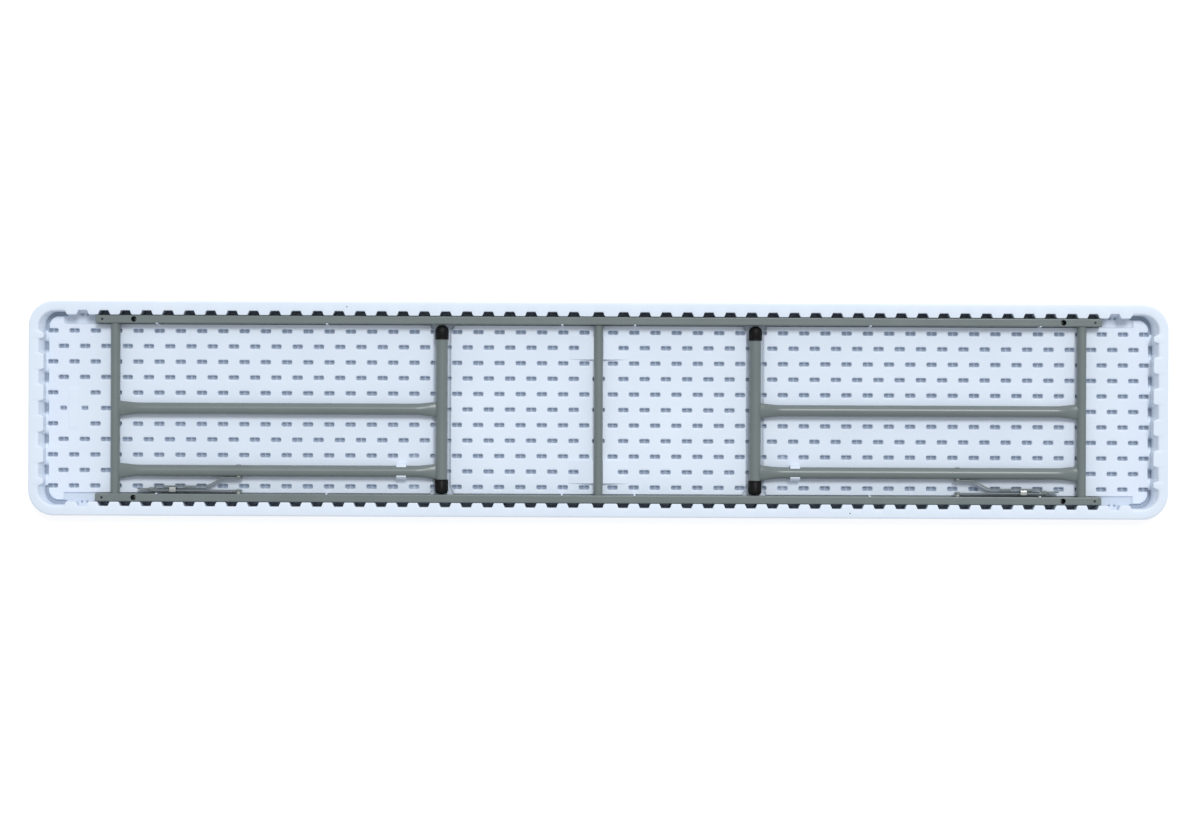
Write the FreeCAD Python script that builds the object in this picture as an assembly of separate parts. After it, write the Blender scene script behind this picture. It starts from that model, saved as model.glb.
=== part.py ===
"""Folding table, lying face down with both leg frames folded into its recess.

X runs along the table, Y across it, and Z up from the outer face of the top, which lies at Z = 0.
The origin is the middle of that face. Every size is in millimetres. Front is the -Y side.
The left leg and brace are built, and the right ones are their mirror images.
"""
import FreeCAD, Part
import os
from math import cos, pi, sqrt

Vector = FreeCAD.Vector

# Table top: hollow, double-skinned moulding
TOP_LENGTH = 2440.0
TOP_WIDTH = 460.0
TOP_THICKNESS = 45.0
TOP_CORNER = 55.0
FACE_EDGE = 6.0
RIM_EDGE = 4.0
SKIN = 2.5
FIELD_HEIGHT = 14.0
SEAT_HEIGHT = 10.0
SEAT_END_GAP = 72.0
END_RIM = 39.0
RECESS_CORNER = 25.0

# Scalloped teeth along the long sides, and notches in the short ends
SCALLOP_PITCH = 45.7
SCALLOP_FIRST = 53.3
SCALLOP_DEPTH = 9.2
SCALLOP_MOUTH = 26.8
SCALLOP_BACK = 18.4
SCALLOP_END_GAP = 110.0
NOTCH_PITCH = 66.6
NOTCH_WIDTH = 22.0
NOTCH_DEPTH = 11.0
NOTCH_SIDE_GAP = 90.0

# Rails: rectangular tubes
RAIL_WIDTH = 17.0
RAIL_HEIGHT = 32.0
RAIL_WALL = 1.5
RAIL_EDGE = 2.5
RAIL_INSET = 30.5
RAIL_END_GAP = 143.0
RAIL_SIDE_CLEARANCE = 0.2
ACCESS_HOLE = 12.0
HANGING_HOLE = 5.0
SCREW_FROM_PIVOT = 41.0
HANGING_HOLE_FROM_PIVOT = 27.0

# Hooks of the top that hold the rails down
HOOK_WIDTH = 6.0
HOOK_THICKNESS = 2.0
HOOK_LIP = 1.2
HOOK_FROM_MIDDLE = 78.0
HOOKS_FROM_PIVOT = (90.0, 454.0)

# Rail screws
SCREW_DIAMETER = 4.0
SCREW_HEAD_DIAMETER = 9.0
SCREW_HEAD_HEIGHT = 2.5
SCREW_DEPTH = 6.0
SCREW_BOSS = 12.0
SCREW_SLOT = 1.2

# Tubes
TUBE_WALL = 1.2
CROSSBAR_DIAMETER = 19.0
CROSSBAR_HEIGHT = 26.0
PIVOT_DIAMETER = 20.0
LEG_DIAMETER = 25.0
RUNNING_CLEARANCE = 0.05
TUBE_END_CLEARANCE = 2.0

# Leg frames
PIVOT_INSET = 184.0
PIVOT_HEIGHT = 29.0
LEG_LENGTH = 700.0
SIDE_UPRIGHT_FROM_RAIL = 49.3
FLARE_LENGTH = 50.0
FLARE_HALF_WIDTH = 16.0
FLARE_HALF_THICKNESS = 5.5
FLARE_SECTIONS = 6
ALMOST_ROUND = 0.9999
FOOT_SIDE_CLEARANCE = 1.5
CAP_DIAMETER = 29.0
CAP_LENGTH = 31.0
CAP_BACK_EDGE = 13.5
CAP_FRONT_EDGE = 6.0
CAP_END_THICKNESS = 9.0

# Places of the folded leg in the top
TROUGH_WIDTH = 31.0
TROUGH_FLARE = 4.0
CLIP_FROM_FOOT = 86.0
CLIP_LENGTH = 21.0
CLIP_THICKNESS = 5.0
CLIP_HEIGHT = 38.0
CLIP_CLEARANCE = 0.4
CLIP_EDGE = 1.5
RAMP_LENGTH = 54.0
RAMP_HEIGHT = 8.0
RAMP_WIDTH = 49.0
RAMP_GAP = 10.0
RAMP_FROM_RAIL = 49.3
VENT_DIAMETER = 3.0
VENT_FROM_MIDDLE = 539.0
VENT_FROM_SIDE = 11.0

# Brace: two straps that fold on each other and a ring that locks them in line
BRACE_REACH = 265.0
LINK_WIDTH = 16.0
LINK_THICKNESS = 3.0
LINK_CLEARANCE = 0.3
LINK_TAIL = 30.0
JOGGLE_START = 6.0
JOGGLE_LENGTH = 6.0
LEG_BEND_FROM_RIVET = 72.0
LEG_BEND_LENGTH = 42.0
LEG_SPACER = 1.0
RAIL_SPACER = 5.5
SPACER_DIAMETER = 12.0
SPACER_CLEARANCE = 0.1
RIVET_DIAMETER = 6.0
RIVET_HEAD_DIAMETER = 10.0
RIVET_HEAD_HEIGHT = 2.0
RIVET_AXIAL_CLEARANCE = 0.2
RING_LENGTH = 14.0
RING_WALL = 2.0
RING_EDGE = 1.5
RING_PARKED_FROM_ELBOW = 40.0

# Worked out from the sizes above
half_length = TOP_LENGTH / 2
half_width = TOP_WIDTH / 2
rail_outer_y = half_width - RAIL_INSET
rail_inner_y = rail_outer_y - RAIL_WIDTH
rail_top = SEAT_HEIGHT + RAIL_HEIGHT
recess_half_length = half_length - END_RIM
recess_half_width = rail_outer_y + RAIL_SIDE_CLEARANCE
pivot_x = -(half_length - PIVOT_INSET)
foot_x = pivot_x + LEG_LENGTH
side_y = -(rail_inner_y - SIDE_UPRIGHT_FROM_RAIL)
tube_end_y = rail_outer_y - RAIL_WALL - TUBE_END_CLEARANCE
foot_end_y = rail_inner_y - FOOT_SIDE_CLEARANCE
screw_x = -pivot_x - SCREW_FROM_PIVOT
hanging_hole_x = -pivot_x + HANGING_HOLE_FROM_PIVOT
rivet_radius = RIVET_DIAMETER / 2
link_length = BRACE_REACH / sqrt(2)
brace_x = pivot_x + BRACE_REACH
elbow_x = brace_x - link_length

# Layers of the brace, counted from the front rail's inner wall towards the side upright
upper_link_near = RAIL_SPACER
upper_link_far = upper_link_near + LINK_THICKNESS
tail_near = upper_link_far + LINK_CLEARANCE
tail_far = tail_near + LINK_THICKNESS
ring_near = upper_link_near - LINK_CLEARANCE - RING_WALL
ring_far = tail_far + LINK_CLEARANCE + RING_WALL
main_near = ring_far + LINK_CLEARANCE
main_far = main_near + LINK_THICKNESS
leg_face = SIDE_UPRIGHT_FROM_RAIL - LEG_DIAMETER / 2
leg_far = leg_face - LEG_SPACER - LINK_CLEARANCE
leg_near = leg_far - LINK_THICKNESS


def layer_y(depth):
    """Y of a brace layer at this depth from the front rail's inner wall."""
    return -rail_inner_y + depth


def block(x0, x1, y0, y1, z0, z1):
    """Box between two corners."""
    return Part.makeBox(x1 - x0, y1 - y0, z1 - z0, Vector(x0, y0, z0))


def upright_block(x0, x1, y0, y1, z0, z1, corner):
    """Box whose four vertical edges are rounded."""
    box = block(x0, x1, y0, y1, z0, z1)
    vertical = [e for e in box.Edges if abs(e.tangentAt(e.FirstParameter).z) > 0.9]
    return box.makeFillet(corner, vertical)


def centred_slab(half_x, half_y, corner, z0, z1):
    """Slab centred on the origin with rounded corners in plan."""
    return upright_block(-half_x, half_x, -half_y, half_y, z0, z1, corner)


def prism(points, direction):
    """Straight prism on a closed polygon."""
    outline = Part.makePolygon(points + [points[0]])
    return Part.Face(outline).extrude(direction)


def pin(radius, x, z, y0, y1):
    """Solid round bar along Y."""
    return Part.makeCylinder(radius, y1 - y0, Vector(x, y0, z), Vector(0, 1, 0))


def tube_along_y(radius, x, z, y0, y1):
    """Round tube along Y."""
    return pin(radius, x, z, y0, y1).cut(pin(radius - TUBE_WALL, x, z, y0, y1))


def mirrored(shape):
    """The same piece at the other end of the table."""
    return shape.mirror(Vector(0, 0, 0), Vector(1, 0, 0))


def both_ends(shapes):
    """The shapes and their mirror images at the other end of the table."""
    return shapes + [mirrored(shape) for shape in shapes]


def both_sides(shapes):
    """The shapes and their mirror images across the table."""
    return shapes + [shape.mirror(Vector(0, 0, 0), Vector(0, 1, 0)) for shape in shapes]


# Table top

def scallop(x):
    """Pocket between two rim teeth at the back side, wider at its mouth on the rail."""
    mouth = recess_half_width - 1.0
    back = recess_half_width + SCALLOP_DEPTH
    points = [
        Vector(x - SCALLOP_MOUTH / 2, mouth, FIELD_HEIGHT),
        Vector(x + SCALLOP_MOUTH / 2, mouth, FIELD_HEIGHT),
        Vector(x + SCALLOP_BACK / 2, back, FIELD_HEIGHT),
        Vector(x - SCALLOP_BACK / 2, back, FIELD_HEIGHT),
    ]
    return prism(points, Vector(0, 0, TOP_THICKNESS))


def scallops():
    """Both rows of pockets, evenly pitched from the middle of the table."""
    room = half_length - SCALLOP_END_GAP - SCALLOP_FIRST
    count = int(room / SCALLOP_PITCH) + 1
    ends = [scallop(SCALLOP_FIRST + SCALLOP_PITCH * k) for k in range(count)]
    return both_sides([scallop(0.0)] + both_ends(ends))


def end_notches():
    """Pockets in the rim at both short ends, evenly pitched from the middle."""
    count = int((half_width - NOTCH_SIDE_GAP) / NOTCH_PITCH)
    pockets = []
    for k in range(-count, count + 1):
        y = NOTCH_PITCH * k
        pockets.append(
            block(recess_half_length - 1.0, recess_half_length + NOTCH_DEPTH,
                  y - NOTCH_WIDTH / 2, y + NOTCH_WIDTH / 2, FIELD_HEIGHT, 2 * TOP_THICKNESS))
    return both_ends(pockets)


def rail_seats():
    """Lower strips of the recess that the rails stand on."""
    seat_half = half_length - SEAT_END_GAP
    seat = block(-seat_half, seat_half, rail_inner_y - 1.0, recess_half_width,
                 SEAT_HEIGHT, FIELD_HEIGHT + 1.0)
    return both_sides([seat])


def foot_troughs():
    """Shallow troughs with sloping walls across the recess, one under each foot tube."""
    low = TROUGH_WIDTH / 2
    high = low + TROUGH_FLARE
    points = [
        Vector(foot_x - low, -rail_inner_y, SEAT_HEIGHT),
        Vector(foot_x + low, -rail_inner_y, SEAT_HEIGHT),
        Vector(foot_x + high, -rail_inner_y, FIELD_HEIGHT),
        Vector(foot_x - high, -rail_inner_y, FIELD_HEIGHT),
    ]
    return both_ends([prism(points, Vector(0, 2 * rail_inner_y, 0))])


def leg_clips():
    """Two springy prongs beside each side upright, which snap over the folded leg."""
    clip_x = foot_x - CLIP_FROM_FOOT
    near = LEG_DIAMETER / 2 + CLIP_CLEARANCE
    far = near + CLIP_THICKNESS
    prongs = []
    for low, high in ((near, far), (-far, -near)):
        prong = block(clip_x - CLIP_LENGTH / 2, clip_x + CLIP_LENGTH / 2,
                      side_y + low, side_y + high, FIELD_HEIGHT - 1.0, CLIP_HEIGHT)
        top_edges = [e for e in prong.Edges
                     if e.BoundBox.ZMin > CLIP_HEIGHT - 0.1 and e.BoundBox.YLength < 0.1]
        prongs.append(prong.makeFillet(CLIP_EDGE, top_edges))
    return both_ends(prongs)


def rail_hooks():
    """Hooks that stand beside the rails' inner walls and reach over their tops."""
    hooks = []
    for x in [-HOOK_FROM_MIDDLE] + [pivot_x + reach for reach in HOOKS_FROM_PIVOT]:
        stem = block(x - HOOK_WIDTH / 2, x + HOOK_WIDTH / 2, rail_inner_y - HOOK_THICKNESS,
                     rail_inner_y, SEAT_HEIGHT - 1.0, rail_top + HOOK_LIP)
        lip = block(x - HOOK_WIDTH / 2, x + HOOK_WIDTH / 2, rail_inner_y - HOOK_THICKNESS,
                    rail_inner_y + HOOK_LIP, rail_top, rail_top + HOOK_LIP)
        hooks.append(stem.fuse(lip))
    return both_sides(both_ends(hooks))


def crossbar_ramps():
    """Wedges that rise towards the crossbar from both ends of the table."""
    low_x = -(RAMP_GAP + RAMP_LENGTH)
    y0 = rail_inner_y - RAMP_FROM_RAIL - RAMP_WIDTH / 2
    points = [
        Vector(low_x, y0, FIELD_HEIGHT - 1.0),
        Vector(-RAMP_GAP, y0, FIELD_HEIGHT - 1.0),
        Vector(-RAMP_GAP, y0, FIELD_HEIGHT + RAMP_HEIGHT),
        Vector(low_x, y0, FIELD_HEIGHT),
    ]
    return both_sides(both_ends([prism(points, Vector(0, RAMP_WIDTH, 0))]))


def screw_places():
    """Plan position of each rail screw, on the rails' middle lines."""
    rail_y = (rail_inner_y + rail_outer_y) / 2
    return [(x, y) for x in (-screw_x, screw_x) for y in (-rail_y, rail_y)]


def top_cavity():
    """Hollow between the two skins: under the whole recess, and up into the rim."""
    seat_cavity = SEAT_HEIGHT - SKIN
    shell = centred_slab(half_length - SKIN, half_width - SKIN, TOP_CORNER - SKIN,
                         SKIN, TOP_THICKNESS - SKIN)
    core = centred_slab(recess_half_length + NOTCH_DEPTH + SKIN,
                        recess_half_width + SCALLOP_DEPTH + SKIN,
                        RECESS_CORNER + SKIN, seat_cavity, TOP_THICKNESS)
    field_y = rail_inner_y - 1.0 - SKIN
    trough_edge = TROUGH_WIDTH / 2 + TROUGH_FLARE + SKIN
    field_top = FIELD_HEIGHT - SKIN
    inner_x = -foot_x - trough_edge
    outer_near = -foot_x + trough_edge
    outer_far = recess_half_length - SKIN
    fields = [block(-inner_x, inner_x, -field_y, field_y, SKIN, field_top)]
    fields += both_ends([block(outer_near, outer_far, -field_y, field_y, SKIN, field_top)])
    cavity = shell.cut(core).fuse(fields)
    bosses = [Part.makeCylinder(SCREW_BOSS / 2, seat_cavity, Vector(x, y, 0))
              for x, y in screw_places()]
    return cavity.cut(bosses)


def table_top():
    """Hollow top with its rim, recess and everything that is moulded into it."""
    outer = centred_slab(half_length, half_width, TOP_CORNER, 0.0, TOP_THICKNESS)
    face_edges = [e for e in outer.Edges if e.BoundBox.ZMax < 0.1]
    outer = outer.makeFillet(FACE_EDGE, face_edges)
    rim_edges = [e for e in outer.Edges if e.BoundBox.ZMin > TOP_THICKNESS - 0.1]
    outer = outer.makeFillet(RIM_EDGE, rim_edges)
    recess = centred_slab(recess_half_length, recess_half_width, RECESS_CORNER,
                          FIELD_HEIGHT, 2 * TOP_THICKNESS)
    top = outer.cut([recess] + scallops() + end_notches() + rail_seats() + foot_troughs())
    top = top.fuse(leg_clips() + rail_hooks() + crossbar_ramps())
    pilots = [Part.makeCylinder(SCREW_DIAMETER / 2, SCREW_DEPTH,
                                Vector(x, y, SEAT_HEIGHT - SCREW_DEPTH))
              for x, y in screw_places()]
    vent_y = half_width - VENT_FROM_SIDE
    vents = [Part.makeCylinder(VENT_DIAMETER / 2, TOP_THICKNESS,
                               Vector(side * VENT_FROM_MIDDLE, -side * vent_y, TOP_THICKNESS / 2))
             for side in (-1, 1)]
    return top.cut([top_cavity()] + pilots + vents).removeSplitter()


# Rails and what ties them together

def rail(side):
    """Rectangular tube with the holes of the pivots, crossbar, screws and brace rivets."""
    end_x = half_length - RAIL_END_GAP
    y0, y1 = sorted((side * rail_inner_y, side * rail_outer_y))
    outer = block(-end_x, end_x, y0, y1, SEAT_HEIGHT, rail_top)
    long_edges = [e for e in outer.Edges if abs(e.tangentAt(e.FirstParameter).x) > 0.9]
    outer = outer.makeFillet(RAIL_EDGE, long_edges)
    inner = block(-end_x, end_x, y0 + RAIL_WALL, y1 - RAIL_WALL,
                  SEAT_HEIGHT + RAIL_WALL, rail_top - RAIL_WALL)
    wall_y0, wall_y1 = sorted((side * (rail_inner_y - 1.0), side * (rail_inner_y + RAIL_WALL + 1.0)))
    tube_y0, tube_y1 = sorted((side * (rail_inner_y - 1.0), side * (rail_outer_y - RAIL_WALL)))
    holes = both_ends([pin(PIVOT_DIAMETER / 2 + RUNNING_CLEARANCE, pivot_x, PIVOT_HEIGHT,
                           tube_y0, tube_y1)])
    holes.append(pin(CROSSBAR_DIAMETER / 2, 0.0, CROSSBAR_HEIGHT, tube_y0, tube_y1))
    if side < 0:
        holes += both_ends([pin(rivet_radius, brace_x, PIVOT_HEIGHT, wall_y0, wall_y1)])
    middle_y = (y0 + y1) / 2
    top_z = rail_top - RAIL_WALL - 1.0
    for x in (-screw_x, screw_x):
        holes.append(Part.makeCylinder(ACCESS_HOLE / 2, RAIL_WALL + 2.0, Vector(x, middle_y, top_z)))
        holes.append(Part.makeCylinder(SCREW_DIAMETER / 2, RAIL_WALL + 2.0,
                                       Vector(x, middle_y, SEAT_HEIGHT - 1.0)))
    for x in (-hanging_hole_x, hanging_hole_x):
        holes.append(Part.makeCylinder(HANGING_HOLE / 2, RAIL_WALL + 2.0, Vector(x, middle_y, top_z)))
    return outer.cut([inner] + holes)


def rail_screw(x, y):
    """Self-tapping screw with a round head and a cross recess."""
    seat = SEAT_HEIGHT + RAIL_WALL
    shank_length = SCREW_DEPTH + RAIL_WALL
    shank = Part.makeCylinder(SCREW_DIAMETER / 2, shank_length, Vector(x, y, seat - shank_length))
    head = Part.makeCylinder(SCREW_HEAD_DIAMETER / 2, SCREW_HEAD_HEIGHT, Vector(x, y, seat))
    rim = [e for e in head.Edges if e.BoundBox.ZMin > seat + SCREW_HEAD_HEIGHT - 0.1]
    head = head.makeFillet(SCREW_HEAD_HEIGHT * 0.6, rim)
    arm = SCREW_HEAD_DIAMETER * 0.3
    slot_z = seat + SCREW_HEAD_HEIGHT / 2
    slots = [
        block(x - arm, x + arm, y - SCREW_SLOT / 2, y + SCREW_SLOT / 2, slot_z, rail_top),
        block(x - SCREW_SLOT / 2, x + SCREW_SLOT / 2, y - arm, y + arm, slot_z, rail_top),
    ]
    return head.fuse(shank).cut(slots)


def rail_screws():
    """All four rail screws."""
    return Part.makeCompound([rail_screw(x, y) for x, y in screw_places()])


def centre_crossbar():
    """Round tube whose ends stand in the holes of both rails."""
    return tube_along_y(CROSSBAR_DIAMETER / 2, 0.0, CROSSBAR_HEIGHT, -tube_end_y, tube_end_y)


# Leg frame

def oval(x, y, half_y, half_z):
    """Closed oval section across X at the leg's height, never taller than it is wide."""
    centre = Vector(x, y, PIVOT_HEIGHT)
    wide = Vector(x, y + half_y, PIVOT_HEIGHT)
    high = Vector(x, y, PIVOT_HEIGHT + half_z * ALMOST_ROUND)
    return Part.Wire(Part.Ellipse(wide, high, centre).toShape())


def flared_bar(y, inset):
    """Round bar whose ends turn into flat ovals inside the pivot tube and the foot tube.

    The inset shrinks it all round.
    """
    radius = LEG_DIAMETER / 2
    stations = []
    for k in range(FLARE_SECTIONS):
        along = FLARE_LENGTH * k / (FLARE_SECTIONS - 1)
        share = 0.5 * (1 + cos(pi * along / FLARE_LENGTH))
        half_y = radius + (FLARE_HALF_WIDTH - radius) * share
        half_z = radius + (FLARE_HALF_THICKNESS - radius) * share
        stations.append((along, half_y - inset, half_z - inset))
    start = pivot_x + PIVOT_DIAMETER / 4
    end = foot_x - LEG_DIAMETER / 4
    sections = [oval(start + a, y, half_y, half_z) for a, half_y, half_z in stations]
    sections += [oval(end - a, y, half_y, half_z) for a, half_y, half_z in reversed(stations)]
    return Part.makeLoft(sections, True, True)


def upright(y):
    """Flared tube, coped to sit against the pivot tube and the foot tube."""
    reach = FLARE_HALF_WIDTH * 2
    pivot_bar = pin(PIVOT_DIAMETER / 2, pivot_x, PIVOT_HEIGHT, y - reach, y + reach)
    foot_bar = pin(LEG_DIAMETER / 2, foot_x, PIVOT_HEIGHT, y - reach, y + reach)
    hollow = flared_bar(y, 0.0).cut(flared_bar(y, TUBE_WALL))
    return hollow.cut(pivot_bar).cut(foot_bar)


def centre_upright():
    """Upright on the middle line of the table."""
    return upright(0.0)


def side_upright():
    """Upright beside the brace, drilled for the brace's rivet."""
    drill = pin(rivet_radius, brace_x, PIVOT_HEIGHT, side_y - LEG_DIAMETER, side_y + LEG_DIAMETER)
    return upright(side_y).cut(drill)


def pivot_tube():
    """Tube that turns in the holes of both rails."""
    return tube_along_y(PIVOT_DIAMETER / 2, pivot_x, PIVOT_HEIGHT, -tube_end_y, tube_end_y)


def foot_tube():
    """Tube across both uprights, which stands on the floor when the leg is open."""
    end_y = foot_end_y - CAP_END_THICKNESS
    return tube_along_y(LEG_DIAMETER / 2, foot_x, PIVOT_HEIGHT, -end_y, end_y)


def foot_cap(edge_radius):
    """Cap over the back end of the foot tube, its closed end rounded by this radius."""
    mouth = foot_end_y - CAP_LENGTH
    bore_end = foot_end_y - CAP_END_THICKNESS
    outer = pin(CAP_DIAMETER / 2, foot_x, PIVOT_HEIGHT, mouth, foot_end_y)
    end_edge = [e for e in outer.Edges if e.BoundBox.YMin > foot_end_y - 0.1]
    outer = outer.makeFillet(edge_radius, end_edge)
    return outer.cut(pin(LEG_DIAMETER / 2, foot_x, PIVOT_HEIGHT, mouth, bore_end))


def foot_cap_back():
    """Cap with a domed end."""
    return foot_cap(CAP_BACK_EDGE)


def foot_cap_front():
    """Cap with a flatter end."""
    return foot_cap(CAP_FRONT_EDGE).mirror(Vector(0, 0, 0), Vector(0, 1, 0))


# Brace carriers

def rail_spacer():
    """Sleeve between the rail and the upper link."""
    start = layer_y(0.0)
    end = layer_y(RAIL_SPACER - SPACER_CLEARANCE)
    sleeve = pin(SPACER_DIAMETER / 2, brace_x, PIVOT_HEIGHT, start, end)
    return sleeve.cut(pin(rivet_radius, brace_x, PIVOT_HEIGHT, start, end))


def rail_rivet():
    """Rivet through the rail's inner wall that the upper link turns on."""
    wall = layer_y(-RAIL_WALL)
    outer_head = layer_y(upper_link_far + RIVET_AXIAL_CLEARANCE)
    head_radius = RIVET_HEAD_DIAMETER / 2
    shank = pin(rivet_radius, brace_x, PIVOT_HEIGHT, wall, outer_head)
    inside = pin(head_radius, brace_x, PIVOT_HEIGHT, wall - RIVET_HEAD_HEIGHT, wall)
    outside = pin(head_radius, brace_x, PIVOT_HEIGHT, outer_head, outer_head + RIVET_HEAD_HEIGHT)
    return shank.fuse([inside, outside])


def leg_spacer():
    """Sleeve between the side upright and the lower link, coped to the upright."""
    start = layer_y(leg_far + LINK_CLEARANCE)
    sleeve = pin(SPACER_DIAMETER / 2, brace_x, PIVOT_HEIGHT, start, side_y)
    sleeve = sleeve.cut(pin(rivet_radius, brace_x, PIVOT_HEIGHT, start, side_y))
    upright_bar = Part.makeCylinder(LEG_DIAMETER / 2, 2 * SPACER_DIAMETER,
                                    Vector(brace_x - SPACER_DIAMETER, side_y, PIVOT_HEIGHT),
                                    Vector(1, 0, 0))
    return sleeve.cut(upright_bar)


def leg_rivet():
    """Rivet through the side upright and its spacer, headed on the upright's inner side."""
    start = layer_y(leg_far + LINK_CLEARANCE)
    head = side_y + LEG_DIAMETER / 2
    shank = pin(rivet_radius, brace_x, PIVOT_HEIGHT, start, head)
    return shank.fuse(pin(RIVET_HEAD_DIAMETER / 2, brace_x, PIVOT_HEIGHT,
                          head, head + RIVET_HEAD_HEIGHT))


# Brace

def strap_outline(x0, x1, y0, y1):
    """Strap along X with half-round ends about x0 and x1, cut out square through its thickness."""
    radius = LINK_WIDTH / 2
    body = block(x0, x1, y0, y1, PIVOT_HEIGHT - radius, PIVOT_HEIGHT + radius)
    return body.fuse([pin(radius, x0, PIVOT_HEIGHT, y0, y1), pin(radius, x1, PIVOT_HEIGHT, y0, y1)])


def upper_link():
    """Strap from the rail's rivet to the elbow."""
    y0 = layer_y(upper_link_near)
    y1 = layer_y(upper_link_far)
    strap = strap_outline(elbow_x, brace_x, y0, y1)
    holes = [pin(rivet_radius + RUNNING_CLEARANCE, brace_x, PIVOT_HEIGHT, y0, y1),
             pin(rivet_radius, elbow_x, PIVOT_HEIGHT, y0, y1)]
    return strap.cut(holes)


def lower_link():
    """Strap from the elbow to the leg, with a tail past the elbow.

    It is joggled past the lock ring, and bent again to lie beside the side upright.
    """
    end_radius = LINK_WIDTH / 2
    tail_x = elbow_x - LINK_TAIL - end_radius
    bend0 = elbow_x + JOGGLE_START
    bend1 = bend0 + JOGGLE_LENGTH
    bend2 = brace_x - LEG_BEND_FROM_RIVET
    bend3 = bend2 + LEG_BEND_LENGTH
    end_x = brace_x + end_radius
    z0 = PIVOT_HEIGHT - end_radius
    points = [
        Vector(tail_x, layer_y(tail_near), z0),
        Vector(bend0, layer_y(tail_near), z0),
        Vector(bend1, layer_y(main_near), z0),
        Vector(bend2, layer_y(main_near), z0),
        Vector(bend3, layer_y(leg_near), z0),
        Vector(end_x, layer_y(leg_near), z0),
        Vector(end_x, layer_y(leg_far), z0),
        Vector(bend3, layer_y(leg_far), z0),
        Vector(bend2, layer_y(main_far), z0),
        Vector(bend1, layer_y(main_far), z0),
        Vector(bend0, layer_y(tail_far), z0),
        Vector(tail_x, layer_y(tail_far), z0),
    ]
    bent = prism(points, Vector(0, 0, LINK_WIDTH))
    outline = strap_outline(elbow_x - LINK_TAIL + end_radius, brace_x,
                            layer_y(tail_near) - 1.0, layer_y(leg_far) + 1.0)
    holes = [pin(rivet_radius + RUNNING_CLEARANCE, elbow_x, PIVOT_HEIGHT,
                 layer_y(tail_near), layer_y(tail_far)),
             pin(rivet_radius, brace_x, PIVOT_HEIGHT, layer_y(leg_near), layer_y(leg_far))]
    return bent.common(outline).cut(holes)


def elbow_rivet():
    """Rivet that joins the two links, fast in the upper one."""
    near = layer_y(upper_link_near)
    far = layer_y(tail_far + RIVET_AXIAL_CLEARANCE)
    head_radius = RIVET_HEAD_DIAMETER / 2
    shank = pin(rivet_radius, elbow_x, PIVOT_HEIGHT, near, far)
    near_head = pin(head_radius, elbow_x, PIVOT_HEIGHT, near - RIVET_HEAD_HEIGHT, near)
    far_head = pin(head_radius, elbow_x, PIVOT_HEIGHT, far, far + RIVET_HEAD_HEIGHT)
    return shank.fuse([near_head, far_head])


def link_rivet_head():
    """Rivet's head and short shank in the lower link's end, facing the leg's rivet."""
    near = layer_y(leg_near)
    shank = pin(rivet_radius, brace_x, PIVOT_HEIGHT, near, layer_y(leg_far))
    return shank.fuse(pin(RIVET_HEAD_DIAMETER / 2, brace_x, PIVOT_HEIGHT,
                          near - RIVET_HEAD_HEIGHT, near))


def lock_ring():
    """Rectangular ring round the upper link, with room for the lower link's tail."""
    x0 = elbow_x + RING_PARKED_FROM_ELBOW
    x1 = x0 + RING_LENGTH
    half_inner = LINK_WIDTH / 2 + LINK_CLEARANCE
    half_outer = half_inner + RING_WALL
    outer = block(x0, x1, layer_y(ring_near), layer_y(ring_far),
                  PIVOT_HEIGHT - half_outer, PIVOT_HEIGHT + half_outer)
    long_edges = [e for e in outer.Edges if abs(e.tangentAt(e.FirstParameter).x) > 0.9]
    outer = outer.makeFillet(RING_EDGE, long_edges)
    inner = block(x0, x1, layer_y(ring_near + RING_WALL), layer_y(ring_far - RING_WALL),
                  PIVOT_HEIGHT - half_inner, PIVOT_HEIGHT + half_inner)
    return outer.cut(inner)


END_PIECES = {
    "pivot_tube": pivot_tube,
    "centre_upright": centre_upright,
    "side_upright": side_upright,
    "foot_tube": foot_tube,
    "foot_cap_front": foot_cap_front,
    "foot_cap_back": foot_cap_back,
    "leg_spacer": leg_spacer,
    "leg_rivet": leg_rivet,
    "rail_spacer": rail_spacer,
    "rail_rivet": rail_rivet,
    "upper_link": upper_link,
    "lower_link": lower_link,
    "elbow_rivet": elbow_rivet,
    "link_rivet_head": link_rivet_head,
    "lock_ring": lock_ring,
}


def save(name, shape):
    """Write one piece as a STEP file."""
    shape.exportStep(os.path.join("parts", name + ".step"))


os.makedirs("parts", exist_ok=True)
save("table_top", table_top())
save("rail_front", rail(-1))
save("rail_back", rail(1))
save("centre_crossbar", centre_crossbar())
save("rail_screws", rail_screws())
for name, make in END_PIECES.items():
    left = make()
    save("left_" + name, left)
    save("right_" + name, mirrored(left))
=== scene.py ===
import math

import bmesh
import bpy
import numpy as np
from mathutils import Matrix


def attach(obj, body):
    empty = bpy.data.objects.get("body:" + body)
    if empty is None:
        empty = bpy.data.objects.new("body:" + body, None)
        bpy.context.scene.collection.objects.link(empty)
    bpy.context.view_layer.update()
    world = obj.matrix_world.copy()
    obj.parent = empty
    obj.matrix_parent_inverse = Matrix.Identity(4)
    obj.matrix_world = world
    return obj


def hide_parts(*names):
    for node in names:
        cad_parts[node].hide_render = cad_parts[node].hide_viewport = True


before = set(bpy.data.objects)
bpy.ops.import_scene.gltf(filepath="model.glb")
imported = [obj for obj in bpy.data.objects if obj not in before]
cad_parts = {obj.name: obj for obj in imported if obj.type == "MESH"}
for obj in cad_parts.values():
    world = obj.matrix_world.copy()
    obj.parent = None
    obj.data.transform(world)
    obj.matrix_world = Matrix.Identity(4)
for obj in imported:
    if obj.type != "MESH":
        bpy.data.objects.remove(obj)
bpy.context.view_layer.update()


# Moulded top, outer skin: the outer face, the rim and its scalloped inner wall.
# One hollow blow moulding in white high-density polyethylene. Teeth stand between trapezoid pockets along
# both long walls and grip the rails; five scoops are let into each short wall.

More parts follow.
